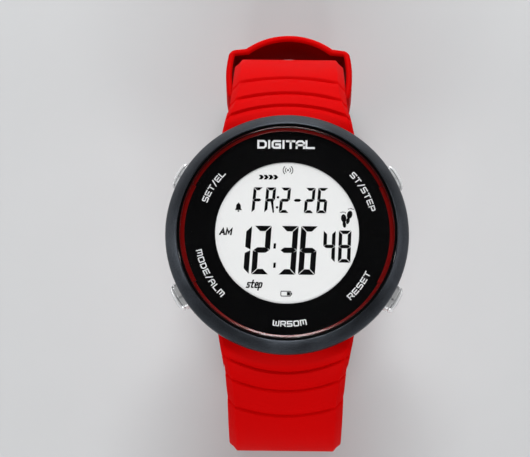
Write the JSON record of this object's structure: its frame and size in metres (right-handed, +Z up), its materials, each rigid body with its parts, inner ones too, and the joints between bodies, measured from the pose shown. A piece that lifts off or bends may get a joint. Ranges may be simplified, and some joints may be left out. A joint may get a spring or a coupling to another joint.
{
  "type": "smartwatch",
  "caption": "Round digital sports watch with side push buttons and a grooved silicone strap, unbuckled, standing on its strap with the dial facing up.",
  "frame": {"origin": "on the dial's axis, on the plane that the strap stands on, which the flat of the strap's tail touches", "axes": "+Z up along the dial's normal, +Y towards 12 o'clock, +X towards 3 o'clock"},
  "size_m": [0.05, 0.0937, 0.0573],
  "materials": {
    "bezel": "satin slate grey",
    "case": "fine satin moulding",
    "steel": "fine brushed",
    "chrome": "polished",
    "lens": "polished mineral glass",
    "red_gloss": "glossy deep red",
    "black_gloss": "glossy black print",
    "black_rubber": "matt",
    "display": "pale grey-white display",
    "display_film": "polariser film",
    "white_plastic": "moulded",
    "zebra": "striped elastomer",
    "board": "solder mask",
    "chip": "moulded epoxy",
    "brass": "plain",
    "strap_red": "silk-matt silicone"
  },
  "bodies": {
    "case": {"case_body": "case", "bezel": "bezel", "case_back": "steel", "case_back_screws": "steel", "case_back_gasket": "black_rubber", "lens": "lens", "lens_gasket": "black_rubber", "accent_ring": "red_gloss", "dial_mask": "black_gloss", "display_polariser": "display_film", "display_cell": "display", "backlight_panel": "white_plastic", "display_holder": "white_plastic", "connector_strips": "zebra", "circuit_board": "board", "board_components": "chip", "module_frame": "white_plastic", "module_screws": "steel", "battery": "steel", "battery_clip": "steel", "battery_contact": "brass", "buzzer_disc": "brass", "buzzer_springs": "brass", "switch_leaves": "brass", "button_tubes": "steel", "spring_bar_upper": "steel", "spring_bar_upper_pins": "steel", "spring_bar_lower": "steel", "spring_bar_lower_pins": "steel", "button_upper_right_spring": "steel", "button_upper_left_spring": "steel", "button_lower_left_spring": "steel", "button_lower_right_spring": "steel"},
    "button_upper_right": {"button_upper_right": "chrome", "button_upper_right_seals": "black_rubber", "button_upper_right_clip": "steel"},
    "button_upper_left": {"button_upper_left": "chrome", "button_upper_left_seals": "black_rubber", "button_upper_left_clip": "steel"},
    "button_lower_left": {"button_lower_left": "chrome", "button_lower_left_seals": "black_rubber", "button_lower_left_clip": "steel"},
    "button_lower_right": {"button_lower_right": "chrome", "button_lower_right_seals": "black_rubber", "button_lower_right_clip": "steel"},
    "upper_strap_root": {"strap_upper_root": "strap_red"},
    "upper_strap_leg": {"strap_upper_leg": "strap_red", "buckle_bar": "steel"},
    "keeper": {"keeper": "strap_red"},
    "buckle": {"buckle_frame": "steel"},
    "tongue": {"buckle_tongue": "steel"},
    "lower_strap_root": {"strap_lower_root": "strap_red"},
    "lower_strap_front": {"strap_lower_front": "strap_red"},
    "lower_strap_tail": {"strap_lower_tail": "strap_red"}
  },
  "joints": [
    {"name": "press_upper_right", "type": "slide", "parent": "case", "child": "button_upper_right", "axis": [-0.866, -0.5, 0], "range_m": [0, 0.0008], "stiffness_N_per_m": 1200, "springref_m": -0.0006, "deforming": ["button_upper_right_spring"]},
    {"name": "press_upper_left", "type": "slide", "parent": "case", "child": "button_upper_left", "axis": [0.866, -0.5, 0], "range_m": [0, 0.0008], "stiffness_N_per_m": 1200, "springref_m": -0.0006, "deforming": ["button_upper_left_spring"]},
    {"name": "press_lower_left", "type": "slide", "parent": "case", "child": "button_lower_left", "axis": [0.866, 0.5, 0], "range_m": [0, 0.0008], "stiffness_N_per_m": 1200, "springref_m": -0.0006, "deforming": ["button_lower_left_spring"]},
    {"name": "press_lower_right", "type": "slide", "parent": "case", "child": "button_lower_right", "axis": [-0.866, 0.5, 0], "range_m": [0, 0.0008], "stiffness_N_per_m": 1200, "springref_m": -0.0006, "deforming": ["button_lower_right_spring"]},
    {"name": "upper_strap_pivot", "type": "hinge", "parent": "case", "child": "upper_strap_root", "pos_m": [0, 0.025, 0.04812], "axis": [1, 0, 0], "range_deg": [-3, 5]},
    {"name": "upper_strap_flex", "type": "hinge", "parent": "upper_strap_root", "child": "upper_strap_leg", "pos_m": [0, 0.03665, 0.0381], "axis": [1, 0, 0], "range_deg": [-5, 45]},
    {"name": "keeper_slide", "type": "slide", "parent": "upper_strap_leg", "child": "keeper", "axis": [0, -0.2588, -0.9659], "range_m": [-0.004, 0.001]},
    {"name": "buckle_swing", "type": "hinge", "parent": "upper_strap_leg", "child": "buckle", "pos_m": [0, 0.03739, 0.0021], "axis": [1, 0, 0], "range_deg": [-5, 150]},
    {"name": "tongue_swing", "type": "hinge", "parent": "buckle", "child": "tongue", "pos_m": [0, 0.03739, 0.0021], "axis": [-1, 0, 0], "range_deg": [0, 30]},
    {"name": "lower_strap_pivot", "type": "hinge", "parent": "case", "child": "lower_strap_root", "pos_m": [0, -0.025, 0.04812], "axis": [-1, 0, 0], "range_deg": [-3, 5]},
    {"name": "lower_strap_flex", "type": "hinge", "parent": "lower_strap_root", "child": "lower_strap_front", "pos_m": [0, -0.03665, 0.0381], "axis": [-1, 0, 0], "range_deg": [-5, 45]},
    {"name": "tail_flex", "type": "hinge", "parent": "lower_strap_front", "child": "lower_strap_tail", "pos_m": [0, -0.02574, 0.00566], "axis": [-1, 0, 0], "range_deg": [-5, 45]}
  ]
}
